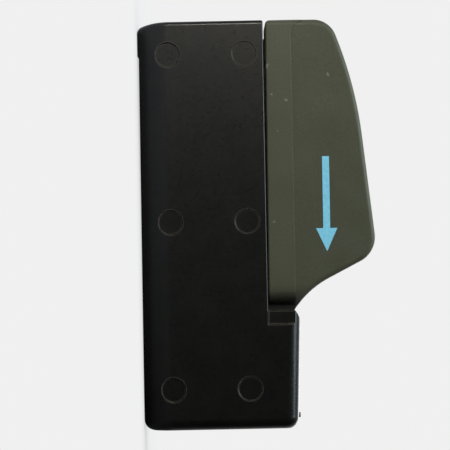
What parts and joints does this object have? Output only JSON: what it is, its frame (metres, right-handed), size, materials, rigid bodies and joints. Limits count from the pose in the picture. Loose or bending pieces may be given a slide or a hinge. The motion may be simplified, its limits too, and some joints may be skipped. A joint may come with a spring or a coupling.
{
  "type": "jam cleat",
  "caption": "Kick-up jam cleat: a toothed aluminium cleat on a moulded housing, pivoting at the load end and held by a leaf spring.",
  "frame": {"origin": "middle of the mounting face, at the bottom centre of the box", "axes": "+X along the rope towards the load end, +Y across, +Z away from the mounting face"},
  "size_m": [0.088, 0.026, 0.0507],
  "materials": {
    "black_nylon": "moulded, fine satin",
    "anodised_aluminium": "hard anodised, olive grey, matt",
    "stainless": "bright, turned",
    "spring_steel": "rolled strip"
  },
  "bodies": {
    "housing": {"housing": "black_nylon", "pivot_pin": "stainless", "latch_spring": "spring_steel", "spring_screw": "stainless", "adjust_screw": "stainless", "adjust_nut": "stainless"},
    "cleat": {"cleat": "anodised_aluminium"}
  },
  "joints": [
    {"name": "cleat_pivot", "type": "hinge", "parent": "housing", "child": "cleat", "pos_m": [0.0213, 0, 0.03], "axis": [0, 1, 0], "range_deg": [0, 90], "deforming": ["latch_spring"]}
  ]
}
